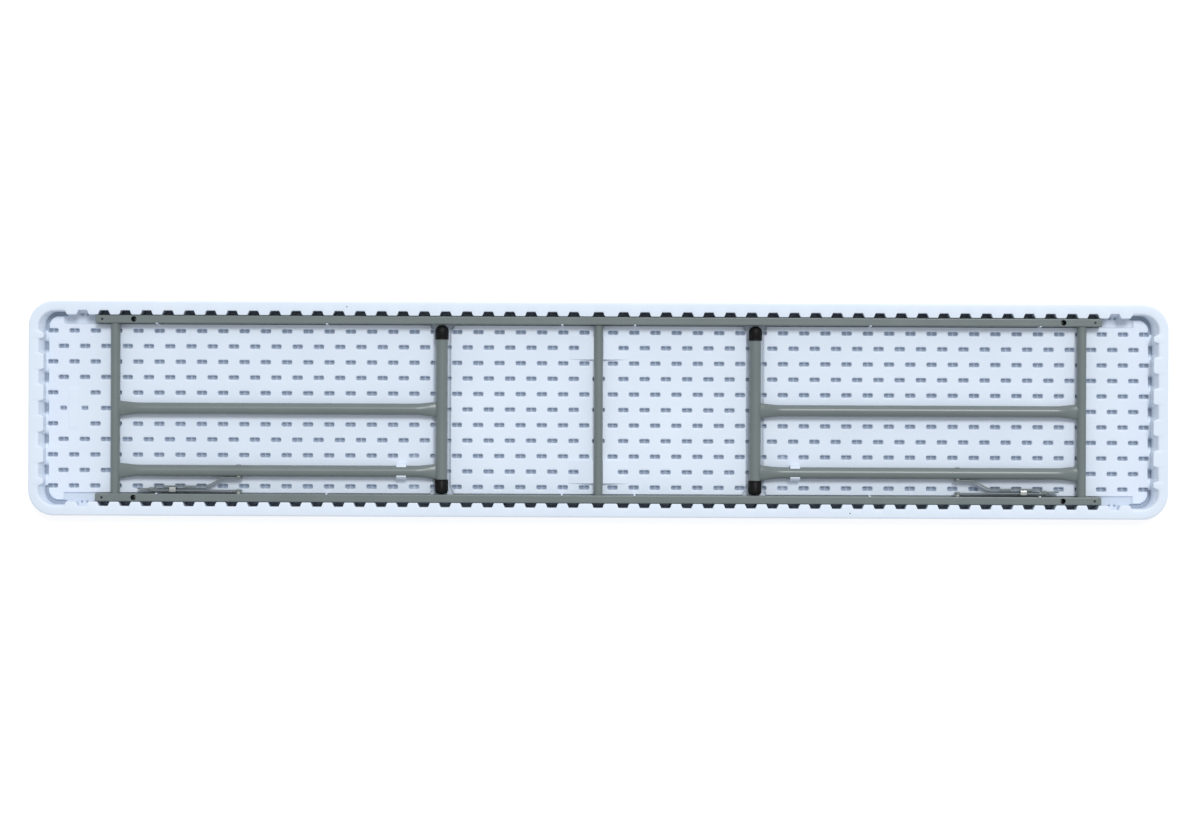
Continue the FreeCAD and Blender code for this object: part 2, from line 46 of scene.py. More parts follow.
TOP_HALF = (1220.0, 230.0)
TOP_CORNER = 55.0
TOP_HEIGHT = 45.0
FACE_EDGE = 6.0
RIM_EDGE = 4.0
PARTING_LINE = 30.0
PARTING_RIDGE = (0.3, 0.6)
WALL_HALF = (1187.0, 199.7)
WALL_CORNER = 25.0
WALL_EDGE = 1.8
WALL_FOOT = 2.0
WALL_DRAFT = 0.4
WALL_STEP = 2.2
FLOOR_SKIN = 1.0
HUB_REACH = 990.0
TOOTH_FIRST = 53.3
TOOTH_PITCH = 45.7
TOOTH_LAST = 23
POCKET_DEPTH = 9.2
POCKET_DRAFT = 0.2
POCKET_BACK = 9.2
POCKET_MOUTH = 13.4
SCOOP_PITCH = 66.6
SCOOP_LAST = 2
SCOOP_FOOT = {"half": 12.2, "run": 2.5, "depth": 3.0}
SCOOP_RIM = {"half": 18.0, "run": 3.5, "depth": 9.5}
CORNER_FROM = (1137.0, 160.0)
CORNER_RUN = (7.0, 8.0)
CORNER_FOOT = (1.5, 5.5)
CORNER_RIM = (10.5, 3.0)
SOFT_EDGE = 3.2
HOLLOW = 1.6
POLYMER_LIGHT = "#E4EEFB"
POLYMER_DARK = "#DAE5F5"
# Painted shade: the grey laid into the moulding's deep places, its dimple pits, grooves and scoop mouths.
POLYMER_PIT_SHADE = "#9EABBD"
VENT_PLACES = ((-0.539, 0.219), (0.539, -0.219))


def linear(code, alpha=1.0):
    """Scene-linear colour of a hex code."""
    parts = [int(code[k:k + 2], 16) / 255 for k in (1, 3, 5)]
    return tuple(c / 12.92 if c <= 0.04045 else ((c + 0.055) / 1.055) ** 2.4 for c in parts) + (alpha,)


def add(tree, kind, settings=None, links=None):
    """Adds a shader node, gives it settings or input values by name or number, and links sockets to it."""
    made = tree.nodes.new(kind)
    for key, value in (settings or {}).items():
        if isinstance(key, str) and hasattr(made, key):
            setattr(made, key, value)
        else:
            made.inputs[key].default_value = value
    for key, socket in (links or {}).items():
        tree.links.new(socket, made.inputs[key])
    return made


def new_material(name):
    """An empty material: its tree, its Principled shader and the object coordinates in metres."""
    material = bpy.data.materials.new(name)
    material.use_nodes = True
    tree = material.node_tree
    place = add(tree, "ShaderNodeTexCoord").outputs["Object"]
    return material, tree, tree.nodes["Principled BSDF"], place


def ease(share):
    """Smooth step: 0 below 0, 1 above 1, with level ends between them."""
    share = np.clip(share, 0.0, 1.0)
    return share * share * (3.0 - 2.0 * share)


def surface(name, sheets, material, body, nodes, sharp=38.0):
    """One closed piece from sheets of points in millimetres.

    Each sheet is (points, rows close, columns close), its points an array of rows by columns by 3.
    Edges that meet are welded, and faces are turned outwards.
    """
    places, quads, start = [], [], 0
    for points, rows_close, columns_close in sheets:
        rows, columns = points.shape[:2]
        index = np.arange(rows * columns).reshape(rows, columns) + start
        if rows_close:
            index = np.vstack([index, index[:1]])
        if columns_close:
            index = np.hstack([index, index[:, :1]])
        corners = [index[:-1, :-1], index[:-1, 1:], index[1:, 1:], index[1:, :-1]]
        quads.append(np.stack(corners, -1).reshape(-1, 4))
        places.append(points.reshape(-1, 3))
        start += rows * columns
    places, quads = np.concatenate(places) * 0.001, np.concatenate(quads)
    mesh = bpy.data.meshes.new(name)
    mesh.vertices.add(len(places))
    mesh.vertices.foreach_set("co", places.astype(np.float32).ravel())
    mesh.loops.add(quads.size)
    mesh.loops.foreach_set("vertex_index", quads.astype(np.int32).ravel())
    mesh.polygons.add(len(quads))
    mesh.polygons.foreach_set("loop_start", np.arange(0, quads.size, 4, dtype=np.int32))
    mesh.update(calc_edges=True)
    shape = bmesh.new()
    shape.from_mesh(mesh)
    bmesh.ops.remove_doubles(shape, verts=shape.verts, dist=2e-6)
    bmesh.ops.dissolve_degenerate(shape, edges=shape.edges, dist=1e-6)
    bmesh.ops.recalc_face_normals(shape, faces=shape.faces)
    shape.to_mesh(mesh)
    shape.free()
    mesh.polygons.foreach_set("use_smooth", np.ones(len(mesh.polygons), dtype=bool))
    mesh.set_sharp_from_angle(angle=math.radians(sharp))
    mesh.materials.append(material)
    piece = bpy.data.objects.new(name, mesh)
    bpy.context.scene.collection.objects.link(piece)
    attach(piece, body)
    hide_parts(*nodes)
    return piece


def bend(first, last, count, radius, centre_along, centre_up):
    """Points of an arc between two angles in degrees, as (along, up)."""
    angle = np.radians(np.linspace(first, last, count))
    return np.stack([centre_along + radius * np.cos(angle), centre_up + radius * np.sin(angle)], -1)


# Blow-moulded polyethylene, off the mould: a fine sandy grain, faint sink ripples from cooling and a soft
# low sheen, so that the white reads as waxy plastic and not as paint. Painted shade greys the deep places of
# the moulding: dimple pits, grooves, gutters and scoop mouths. Two drilled vents are not cut; painted shade
# shows them as dark dots.
polymer, tree, shader, place = new_material("HDPE_blow_moulded_grain_with_painted_pit_shade")
cloud = add(tree, "ShaderNodeTexNoise", {"Scale": 9.0, "Detail": 3.0}, {"Vector": place})
tone = add(tree, "ShaderNodeMix", {"data_type": "RGBA", 6: linear(POLYMER_DARK), 7: linear(POLYMER_LIGHT)},
           {0: cloud.outputs["Fac"]})
grain = add(tree, "ShaderNodeTexNoise", {"Scale": 650.0, "Detail": 2.0, "Roughness": 0.6}, {"Vector": place})
ripple = add(tree, "ShaderNodeTexNoise", {"Scale": 38.0, "Detail": 1.0}, {"Vector": place})
# Painted shade: the vents are not cut, and the dark inside of each hole is painted on as a dark dot.
gaps = [add(tree, "ShaderNodeVectorMath", {"operation": "DISTANCE", 1: (x, y, 0.045)}, {0: place})
        for x, y in VENT_PLACES]
nearest = add(tree, "ShaderNodeMath", {"operation": "MINIMUM"},
              {0: gaps[0].outputs["Value"], 1: gaps[1].outputs["Value"]})
solid = add(tree, "ShaderNodeMapRange", {"From Min": 0.0011, "From Max": 0.0016},
            {"Value": nearest.outputs[0]})
height = add(tree, "ShaderNodeSeparateXYZ", None, {0: place})
# Painted shade: below 11.8 mm above the outer face the polymer is greyed, fully so by 5.5 mm, so that pits,
# grooves and scoop mouths look shaded; the outer face itself, below 1.6 mm, is left alone.
shade_by_depth = add(tree, "ShaderNodeMapRange", {"From Min": 0.0118, "From Max": 0.0055}, {"Value": height.outputs["Z"]})
skin = add(tree, "ShaderNodeMapRange", {"From Min": 0.0016, "From Max": 0.0018}, {"Value": height.outputs["Z"]})
painted_pit_shade = add(tree, "ShaderNodeMath", {"operation": "MULTIPLY"}, {0: shade_by_depth.outputs[0], 1: skin.outputs[0]})
depth = add(tree, "ShaderNodeMix", {"data_type": "RGBA", 7: linear(POLYMER_PIT_SHADE)},
            {0: painted_pit_shade.outputs[0], 6: tone.outputs[2]})
shown = add(tree, "ShaderNodeMix", {"data_type": "RGBA", 6: linear("#23252A")},
            {0: solid.outputs[0], 7: depth.outputs[2]})
gloss = add(tree, "ShaderNodeMapRange", {"To Min": 0.40, "To Max": 0.52}, {"Value": grain.outputs["Fac"]})
wave = add(tree, "ShaderNodeBump", {"Strength": 0.5, "Distance": 0.0006}, {"Height": ripple.outputs["Fac"]})
relief = add(tree, "ShaderNodeBump", {"Strength": 0.35, "Distance": 0.00012},
             {"Height": grain.outputs["Fac"], "Normal": wave.outputs[0]})
tree.links.new(shown.outputs[2], shader.inputs["Base Color"])
tree.links.new(gloss.outputs[0], shader.inputs["Roughness"])
tree.links.new(relief.outputs[0], shader.inputs["Normal"])
shader.inputs["IOR"].default_value = 1.5


def near_teeth(x):
    """Distance along X to the middle of the nearest pocket of the long walls."""
    x = np.abs(x)
    spot = np.clip(np.round((x - TOOTH_FIRST) / TOOTH_PITCH), 0, TOOTH_LAST)
    return np.minimum(x, np.abs(x - TOOTH_FIRST - TOOTH_PITCH * spot))


def top_skin():
    """Rounded rectangle round the table, swept by the section of rim, wall and floor.

    Every sample is a corner centre's share of the straight sides and a facing angle, so that the outer
    edge and the inner wall are the same loop at two sizes. The inner wall is then pushed outwards by the
    pockets, by the scoops and at the corners.
    """
    long_side = int(2 * (WALL_HALF[0] - WALL_CORNER) / WALL_STEP)
    short_side = int(2 * (WALL_HALF[1] - WALL_CORNER) / WALL_STEP)
    turn = np.linspace(0.0, 90.0, 22)[1:-1]
    up = np.linspace(-1.0, 1.0, short_side)
    along = np.linspace(-1.0, 1.0, long_side)
    at_end, at_side, arc = np.ones(short_side), np.ones(long_side), np.ones(len(turn))
    parts = [
        (at_end, up, 0 * up), (arc, arc, turn),
        (-along, at_side, 90 + 0 * along), (-arc, arc, 90 + turn),
        (-at_end, -up, 180 + 0 * up), (-arc, -arc, 180 + turn),
        (along, -at_side, 270 + 0 * along), (arc, -arc, 270 + turn),
    ]
    share_x, share_y, facing = (np.concatenate(column) for column in zip(*parts))
    facing = np.radians(facing)
    out_x, out_y = np.cos(facing), np.sin(facing)

    def loop(half, corner):
        return share_x * (half[0] - corner) + corner * out_x, share_y * (half[1] - corner) + corner * out_y

    edge_x, edge_y = loop(TOP_HALF, TOP_CORNER)
    wall_x, wall_y = loop(WALL_HALF, WALL_CORNER)
    on_side = np.abs(out_y) > 0.999
    on_end = np.abs(out_x) > 0.999
    pocket = ease((POCKET_MOUTH - near_teeth(wall_x)) / (POCKET_MOUTH - POCKET_BACK)) * on_side
    past_scoop = np.abs(wall_y - SCOOP_PITCH * np.clip(np.round(wall_y / SCOOP_PITCH), -SCOOP_LAST, SCOOP_LAST))
    scoop_low = ease((SCOOP_FOOT["half"] - past_scoop) / SCOOP_FOOT["run"]) * on_end
    scoop_high = ease((SCOOP_RIM["half"] - past_scoop) / SCOOP_RIM["run"]) * on_end
    corner = ease((np.abs(wall_x) - CORNER_FROM[0]) / CORNER_RUN[0])
    corner = corner * ease((np.abs(wall_y) - CORNER_FROM[1]) / CORNER_RUN[1])
    sideways = np.abs(out_y) ** 2
    low = (POCKET_DEPTH * pocket + SCOOP_FOOT["depth"] * scoop_low
           + corner * (CORNER_FOOT[0] + CORNER_FOOT[1] * sideways))
    high = (WALL_DRAFT + (POCKET_DEPTH + POCKET_DRAFT) * pocket + SCOOP_RIM["depth"] * scoop_high
            + corner * (CORNER_RIM[0] - CORNER_RIM[1] * sideways))
    soft = WALL_EDGE + SOFT_EDGE * np.maximum(scoop_high, corner)
    hollow = 1.0 + HOLLOW * np.maximum(scoop_high, corner)
    hub_x = np.clip(edge_x, -HUB_REACH, HUB_REACH)
    rows = [np.stack([hub_x, 0 * edge_y, 0 * edge_x], -1)]
    out, half = PARTING_RIDGE
    parting = [[0.0, PARTING_LINE - half], [out, PARTING_LINE], [0.0, PARTING_LINE + half]]
    for back, height in np.concatenate([
            bend(-90, 0, 7, FACE_EDGE, -FACE_EDGE, FACE_EDGE), parting,
            bend(0, 90, 6, RIM_EDGE, -RIM_EDGE, TOP_HEIGHT - RIM_EDGE)]):
        rows.append(np.stack([edge_x + back * out_x, edge_y + back * out_y, height + 0 * edge_x], -1))
    for back, height in bend(90, 180, 7, 1.0, 1.0, -1.0):
        reach = high + soft * back
        rows.append(np.stack([wall_x + reach * out_x, wall_y + reach * out_y, TOP_HEIGHT + soft * height], -1))
    for share in np.linspace(0.88, 0.0, 8):
        reach = low + (high - low) * share ** hollow
        height = WALL_FOOT + (TOP_HEIGHT - soft - WALL_FOOT) * share
        rows.append(np.stack([wall_x + reach * out_x, wall_y + reach * out_y, height], -1))
    rows.append(np.stack([hub_x, 0 * edge_y, FLOOR_SKIN + 0 * edge_x], -1))
    return np.stack(rows)


surface("top_outer_skin", [(top_skin(), True, True)], polymer, "top", ["table_top"], sharp=50.0)


# Moulded top, floor of the recess: the field of kissed dimples between the rails.
# The same moulding: the inner skin is pinched down to the outer one in rows of stadium-shaped dimples, each
# with two pits and a saddle. Seats for the rails, a trough under each foot tube and ramps to the crossbar.

FIELD = 14.0
SEAT = 10.0
SLAB_FOOT = 1.5
FIELD_SEAMS = (-1200.0, -613.1, 16.6, 613.1, 1200.0)
FIELD_REACH = 210.0
ROW_PITCH = 33.35
ROW_LAST = 5
RAMP_ROW = 4
EVEN_FIRST = 53.3
EVEN_LAST = 24
ODD_FIRST = 30.45
ODD_LAST = 25
DIMPLE_HALF = (11.9, 5.6)
DIMPLE_DEPTH = 10.0
DIMPLE_WALL = 3.4
SADDLE_RISE = 3.4
SADDLE_HALF = 2.6
MIDDLE_DIMPLE = {"half": 14.0, "reach": 25.0}
CLIP_DIMPLE = {"x": 397.0, "reach": 20.0, "share": 0.85, "rows": (-3, -5)}
LABEL_DIMPLE = {"half": 8.0, "past": -1090.0, "none": 13.5}
LABEL_PAD = {"x": -1127.5, "half": (11.5, 41.0), "edge": 1.2, "rise": 0.8}
RAMP = {"near": 10.0, "far": 64.0, "y": 133.2, "half": 24.5, "rise": 8.0, "no_dimple": 42.0}
RAMP_STEP = 0.1
TROUGH = {"x": 336.0, "half": 19.5, "edge": 4.0, "depth": 4.5, "reach": 30.0}
TROUGH_FLARE = {"wide": 7.0, "from": 182.0, "run": 22.0}
SEAT_SIDE = {"from": 178.0, "start": 180.4, "run": 1.4}
SEAT_END = {"x": 1149.5, "run": 2.0}
SEAT_LINES = (176.5, 178.0, 179.2, 180.4, 180.9, 181.4, 182.0, 186.0, 190.0, 193.5,
              196.0, 197.5, 199.0, 199.6, 200.0, 200.4, 202.0, 203.5, 205.0, 207.0)
GUTTER = {"from": 199.0, "start": 199.6, "run": 0.8, "end": 1090.0, "end_run": 4.0, "depth": 7.0}
OPEN_POCKET = {"x": 1104.4, "half": 14.0, "edge": 3.0, "rise": 18.0, "start": 203.0, "run": 9.0}
OPEN_REACH = {"x": (1089.0, 1120.0), "y": 198.0}
EYE = {"out": 6.0, "y": 201.5, "radius": 3.2, "edge": 2.0, "depth": 4.0}
TONGUE = {"x": 1160.5, "y": 176.5, "radius": 20.0}
GROOVE = {"run": 2.5, "depth": 8.0, "x": (1140.0, 4.0), "y": (165.5, 3.0)}
MOUTH = {"half": 11.6, "edge": 2.0, "x": (1181.0, 2.5), "depth": 9.2}


def dimple(dx, dy, half_x, half_y, depth):
    """Depth of a stadium-shaped dimple with two pits and a saddle across its middle."""
    past = np.maximum(np.abs(dx) - (half_x - half_y), 0.0)
    inside = half_y - (past ** 3 + np.abs(dy) ** 3) ** (1 / 3)
    saddle = SADDLE_RISE * np.exp(-(dx / SADDLE_HALF) ** 2)
    return ease(inside / DIMPLE_WALL) * (depth - saddle)


def dimpled_field(x, y):
    """Level field less its rows of dimples, with the label's pad, the ramps and the foot tubes' troughs."""
    far, wide = np.abs(x), np.abs(y)
    row = np.clip(np.round(y / ROW_PITCH), -ROW_LAST, ROW_LAST)
    even = np.mod(row, 2) == 0
    first = np.where(even, EVEN_FIRST, ODD_FIRST)
    spot = np.clip(np.round((far - first) / TOOTH_PITCH), 0, np.where(even, EVEN_LAST, ODD_LAST))
    middle = even & (np.abs(row) < RAMP_ROW) & (far < MIDDLE_DIMPLE["reach"])
    dx = np.where(middle, far, far - first - spot * TOOTH_PITCH)
    length = np.where(middle, MIDDLE_DIMPLE["half"], DIMPLE_HALF[0])
    length = np.where((x < LABEL_DIMPLE["past"]) & (row == 0), LABEL_DIMPLE["half"], length)
    from_label = np.abs(x - LABEL_PAD["x"])
    none = (far < RAMP["no_dimple"]) & (np.abs(row) == RAMP_ROW)
    none = none | ((from_label < LABEL_DIMPLE["none"]) & (np.abs(row) == 1))
    by_clip = (np.abs(far - CLIP_DIMPLE["x"]) < CLIP_DIMPLE["reach"]) & np.isin(row, CLIP_DIMPLE["rows"])
    depth = DIMPLE_DEPTH * np.where(by_clip, CLIP_DIMPLE["share"], 1.0)
    pits = dimple(dx, y - row * ROW_PITCH, length, DIMPLE_HALF[1], depth) * ~none
    pad = ease((LABEL_PAD["half"][0] - from_label) / LABEL_PAD["edge"])
    pad = pad * ease((LABEL_PAD["half"][1] - wide) / LABEL_PAD["edge"])
    on_ramp = (far > RAMP["near"]) & (far < RAMP["far"]) & (np.abs(wide - RAMP["y"]) < RAMP["half"])
    slope = RAMP["rise"] * (RAMP["far"] - far) / (RAMP["far"] - RAMP["near"]) * on_ramp
    height = FIELD - pits + LABEL_PAD["rise"] * pad + slope * (1.0 - pits / DIMPLE_DEPTH)
    flare = TROUGH_FLARE["wide"] * (1.0 - ease((TROUGH_FLARE["from"] - wide) / TROUGH_FLARE["run"]))
    past = np.abs(far - TROUGH["x"])
    trough = FIELD - TROUGH["depth"] * ease((TROUGH["half"] + flare - past) / TROUGH["edge"])
    return np.where(past < TROUGH["reach"], np.minimum(height, trough), height)


def with_seats(far, wide, height):
    """The floor lowered to the rails' seats, the gutters under the pockets and the last, open pockets."""
    seat = ease((wide - SEAT_SIDE["start"]) / SEAT_SIDE["run"]) * ease((SEAT_END["x"] - far) / SEAT_END["run"])
    height = np.where(wide > SEAT_SIDE["from"], np.minimum(height, FIELD - (FIELD - SEAT) * seat), height)
    gutter = ease((wide - GUTTER["start"]) / GUTTER["run"]) * ease((GUTTER["end"] - far) / GUTTER["end_run"])
    height = np.where(wide > GUTTER["from"], np.minimum(height, SEAT - GUTTER["depth"] * gutter), height)
    past = np.abs(far - OPEN_POCKET["x"])
    within = ease((OPEN_POCKET["half"] - past) / OPEN_POCKET["edge"])
    rise = OPEN_POCKET["rise"] * ease((wide - OPEN_POCKET["start"]) / OPEN_POCKET["run"])
    from_eye = np.hypot(past - EYE["out"], wide - EYE["y"])
    eyes = EYE["depth"] * ease((EYE["radius"] - from_eye) / EYE["edge"])
    uncovered = (wide > OPEN_REACH["y"]) & (far > OPEN_REACH["x"][0]) & (far < OPEN_REACH["x"][1])
    return np.where(uncovered, SEAT + rise * within - eyes, height)


def with_grooves(far, y, height):
    """The floor lowered in the groove round each corner's tongue and in the mouths of the end scoops."""
    wide = np.abs(y)
    round_corner = np.hypot(np.maximum(far - TONGUE["x"], 0.0), np.maximum(wide - TONGUE["y"], 0.0))
    straight = np.maximum(far - TONGUE["x"], wide - TONGUE["y"])
    in_corner = (far > TONGUE["x"]) & (wide > TONGUE["y"])
    past_tongue = np.where(in_corner, round_corner, straight) - TONGUE["radius"]
    groove = ease(past_tongue / GROOVE["run"])
    groove = groove * ease((far - GROOVE["x"][0]) / GROOVE["x"][1])
    groove = groove * ease((wide - GROOVE["y"][0]) / GROOVE["y"][1])
    height = np.where(groove > 0.0, np.minimum(height, FIELD - GROOVE["depth"] * groove), height)
    scoop = np.abs(y - SCOOP_PITCH * np.clip(np.round(y / SCOOP_PITCH), -SCOOP_LAST, SCOOP_LAST))
    mouth = ease((MOUTH["half"] - scoop) / MOUTH["edge"]) * ease((far - MOUTH["x"][0]) / MOUTH["x"][1])
    return np.where(mouth > 0.0, np.minimum(height, FIELD - MOUTH["depth"] * mouth), height)


def field_height(x, y):
    """Height of the recess floor at arrays of X and Y: level field, less dimples, seats and grooves."""
    far, wide = np.abs(x), np.abs(y)
    return with_grooves(far, y, with_seats(far, wide, dimpled_field(x, y)))


def field_lines_y():
    """Y of the grid lines: close together across each row of dimples and at the seats' edges."""
    rows = range(-ROW_LAST, ROW_LAST + 1)
    across = [ROW_PITCH * row + np.linspace(-6.3, 6.3, 13) for row in rows]
    between = [ROW_PITCH * (row + 0.5) + np.array([-6.0, 0.0, 6.0]) for row in rows[:-1]]
    edge = np.array(SEAT_LINES + (FIELD_REACH,))
    step = RAMP["half"] + np.array([-RAMP_STEP, RAMP_STEP])
    ramp = RAMP["y"] + np.concatenate([-step, step])
    return np.unique(np.concatenate(across + between + [edge, -edge, ramp, -ramp]))


def field_lines_x(start, end):
    """X of the grid lines between two seams: close together at the dimples' ends, saddles and ramps' steps."""
    reach = DIMPLE_HALF[0] - np.array([-0.4, 0.7, 1.8, 2.9, 4.2])
    part = np.concatenate([-reach, reach, [-5.4, -3.2, -1.4, 0.0, 1.4, 3.2, 5.4]])
    spots = np.concatenate([first + TOOTH_PITCH * np.arange(26) for first in (EVEN_FIRST, ODD_FIRST)])
    lines = (np.concatenate([spots, -spots])[:, None] + part).ravel()
    outer = np.arange(TONGUE["x"] - 0.5, FIELD_SEAMS[-1], 1.25)
    plain = np.concatenate([np.arange(-22.0, 22.1, 1.1), outer, -outer])
    lines = np.unique(np.round(np.concatenate([lines, plain]) * 2.0) / 2.0)
    near, far = RAMP["near"], RAMP["far"]
    steps = np.array([-far, -near - RAMP_STEP, -near + RAMP_STEP, near - RAMP_STEP, near + RAMP_STEP, far])
    lines = lines[np.abs(lines[:, None] - steps).min(1) > 0.3]
    lines = np.concatenate([lines, steps])
    return np.unique(np.concatenate([[start, end], lines[(lines > start + 0.6) & (lines < end - 0.6)]]))


def slab(start, end):
    """Top grid of one stretch of the field, and its skirt closed over the underside."""
    x, y = np.meshgrid(field_lines_x(start, end), field_lines_y(), indexing="ij")
    top = np.stack([x, y, field_height(x, y)], -1)
    rim = np.concatenate([top[0, :-1], top[:-1, -1], top[-1, :0:-1], top[:0:-1, 0]])
    foot = rim * np.array([1.0, 1.0, 0.0]) + np.array([0.0, 0.0, SLAB_FOOT])
    hub = np.array([(start + end) / 2, 0.0, SLAB_FOOT]) + 0.0 * rim
    return [(top, False, False), (np.stack([rim, foot, hub]), False, True)]


for number in range(4):
    surface(f"recess_field_{number + 1}", slab(FIELD_SEAMS[number], FIELD_SEAMS[number + 1]), polymer, "top",
            ["table_top"], sharp=55.0)


# Moulded top, clips and hooks: two prongs that snap over each side upright, six hooks over each rail.
# The same white polymer, moulded with the floor. A prong is a short wall whose inner face follows the tube and
# closes a little over it; a hook is a narrow tongue whose lip lies on the rail.

CLIP_X = 422.0
CLIP_HALF = 10.5
TUBE_Y = -133.2
TUBE_Z = 29.0
TUBE_GAP = 12.9
CLIP_OUTER = 16.4
CLIP_FOOT = 13.0
CLIP_WRAP = 47.0
CLIP_SHOULDER = {"radius": 6.0, "z": 30.5}
CLIP_TIP = {"radius": 1.6, "out": 1.5, "down": 0.6}
HOOK_PLACES = (78.0, 582.0, 946.0)
HOOK_HALF = 2.0
HOOK_FOOT = 9.0
HOOK_BEND = 30.0
HOOK_THICK = 1.45
HOOK_UNDER = 42.1
HOOK_LIP = {"radius": 0.5, "out": 0.2, "z": 42.7}
HOOK_HEEL = 1.1
RAIL_INNER = 182.5


def prism_along_x(section, middle, half, edge, rows=4):
    """A closed section of (Y, Z) points carried along X, its ends rounded off and closed."""
    centre = section.mean(0)
    size = np.abs(section - centre).max(0)
    turn = np.radians(np.linspace(0.0, 90.0, rows))
    stations = [(-half, None)] + [(-half + edge * (1 - np.sin(a)), edge * (1 - np.cos(a))) for a in turn[::-1]]
    stations += [(-x, inset) for x, inset in stations[::-1]]
    rings = []
    for x, inset in stations:
        scale = 0.0 if inset is None else 1.0 - inset / size
        ring = centre + (section - centre) * scale
        rings.append(np.column_stack([np.full(len(ring), middle + x), ring]))
    return np.stack(rings)


def prong_section():
    """Outline of one prong in (Y from the tube's axis, Z): round the tube inside, upright outside."""
    angle = np.radians(np.linspace(0.0, CLIP_WRAP, 12))
    inner = np.stack([TUBE_GAP * np.cos(angle), TUBE_Z + TUBE_GAP * np.sin(angle)], -1)
    tip = bend(150, 20, 7, CLIP_TIP["radius"], inner[-1, 0] + CLIP_TIP["out"], inner[-1, 1] - CLIP_TIP["down"])
    shoulder = CLIP_SHOULDER["radius"]
    outer = bend(45, 0, 5, shoulder, CLIP_OUTER - shoulder, CLIP_SHOULDER["z"])
    foot = np.array([[CLIP_OUTER + 0.6, CLIP_FOOT], [TUBE_GAP - 0.4, CLIP_FOOT]])
    lower = np.array([[TUBE_GAP, 16.0], [TUBE_GAP, 22.0]])
    return np.concatenate([lower, inner, tip, outer, foot])


for name, end in (("left", -1), ("right", 1)):
    prong = prong_section()
    sheets = [(prism_along_x(prong * [side, 1] + [TUBE_Y, 0], end * CLIP_X, CLIP_HALF, 1.2), False, True)
              for side in (-1, 1)]
    surface(f"{name}_leg_clip", sheets, polymer, "top", ["table_top"])


def hook_section(side):
    """Outline of a hook in (Y, Z): stem beside the rail's inner wall, lip over its top."""
    inner = RAIL_INNER - 0.05
    back = inner - HOOK_THICK
    tip = RAIL_INNER + HOOK_LIP["out"] + HOOK_LIP["radius"]
    lip = bend(0, 90, 4, HOOK_LIP["radius"], RAIL_INNER + HOOK_LIP["out"], HOOK_LIP["z"])
    heel = bend(90, 180, 5, HOOK_HEEL, back + HOOK_HEEL, HOOK_UNDER)
    stem = [[inner, HOOK_FOOT], [inner, HOOK_BEND], [inner, HOOK_UNDER], [tip, HOOK_UNDER]]
    points = np.concatenate([stem, lip, heel, [[back, HOOK_BEND], [back - 0.4, HOOK_FOOT]]])
    return points * [side, 1]


for number, x in enumerate([-x for x in HOOK_PLACES[::-1]] + list(HOOK_PLACES)):
    sheets = [(prism_along_x(hook_section(side), x, HOOK_HALF, 0.6), False, True) for side in (-1, 1)]
    surface(f"rail_hooks_{number + 1}", sheets, polymer, "top", ["table_top"])


# Rails and rail screws: two rectangular steel tubes on the seats, with the screws' access holes and vents.
# Cold-formed, welded tube under a grey-green powder coat; four zinc-plated screws, one near each end of each
# rail, hold them down from inside the tube. Their shapes are right as designed and stay.

PAINT_LIGHT = "#747E7E"
PAINT_DARK = "#6A7474"

# Powder coat on steel, baked: fine orange peel and a half-matt sheen with slight cloudiness, so that long
# tubes carry a soft highlight line and not a mirror one.
powder, tree, shader, place = new_material("powder_coat_baked_on_steel")
cloud = add(tree, "ShaderNodeTexNoise", {"Scale": 14.0, "Detail": 4.0}, {"Vector": place})
tone = add(tree, "ShaderNodeMix", {"data_type": "RGBA", 6: linear(PAINT_DARK), 7: linear(PAINT_LIGHT)},
           {0: cloud.outputs["Fac"]})
speck = add(tree, "ShaderNodeTexNoise", {"Scale": 2600.0, "Detail": 1.0}, {"Vector": place})
fleck = add(tree, "ShaderNodeMapRange", {"From Min": 0.56, "From Max": 0.72, "To Max": 0.22},
            {"Value": speck.outputs["Fac"]})
shown = add(tree, "ShaderNodeMix", {"data_type": "RGBA", 7: linear("#939D9B")},
            {0: fleck.outputs[0], 6: tone.outputs[2]})
peel = add(tree, "ShaderNodeTexNoise", {"Scale": 820.0, "Detail": 1.5}, {"Vector": place})
gloss = add(tree, "ShaderNodeMapRange", {"To Min": 0.27, "To Max": 0.35}, {"Value": cloud.outputs["Fac"]})
relief = add(tree, "ShaderNodeBump", {"Strength": 0.4, "Distance": 0.0001}, {"Height": peel.outputs["Fac"]})
tree.links.new(shown.outputs[2], shader.inputs["Base Color"])
tree.links.new(gloss.outputs[0], shader.inputs["Roughness"])
tree.links.new(relief.outputs[0], shader.inputs["Normal"])
shader.inputs["IOR"].default_value = 1.5

# Bright zinc plate: pale metal with faint cloudy passivation, which keeps rivets and screws from going flat.
zinc, tree, shader, place = new_material("zinc_plate_bright_passivated")
cloud = add(tree, "ShaderNodeTexNoise", {"Scale": 420.0, "Detail": 3.0}, {"Vector": place})
tone = add(tree, "ShaderNodeMix", {"data_type": "RGBA", 6: linear("#A9ADAF"), 7: linear("#C6C8C4")},
           {0: cloud.outputs["Fac"]})
gloss = add(tree, "ShaderNodeMapRange", {"To Min": 0.24, "To Max": 0.42}, {"Value": cloud.outputs["Fac"]})
relief = add(tree, "ShaderNodeBump", {"Strength": 0.2, "Distance": 0.00005}, {"Height": cloud.outputs["Fac"]})
tree.links.new(tone.outputs[2], shader.inputs["Base Color"])
tree.links.new(gloss.outputs[0], shader.inputs["Roughness"])
tree.links.new(relief.outputs[0], shader.inputs["Normal"])
shader.inputs["Metallic"].default_value = 1.0

for node, finish in (("rail_front", powder), ("rail_back", powder), ("rail_screws", zinc)):
    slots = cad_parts[node].data.materials
    slots.clear()
    slots.append(finish)


# Centre crossbar and pivot tubes: round steel tubes from rail to rail.
# Drawn tube with the same powder coat. The crossbar is pressed into both rails; each pivot tube turns in
# plain holes in the rails' inner walls.

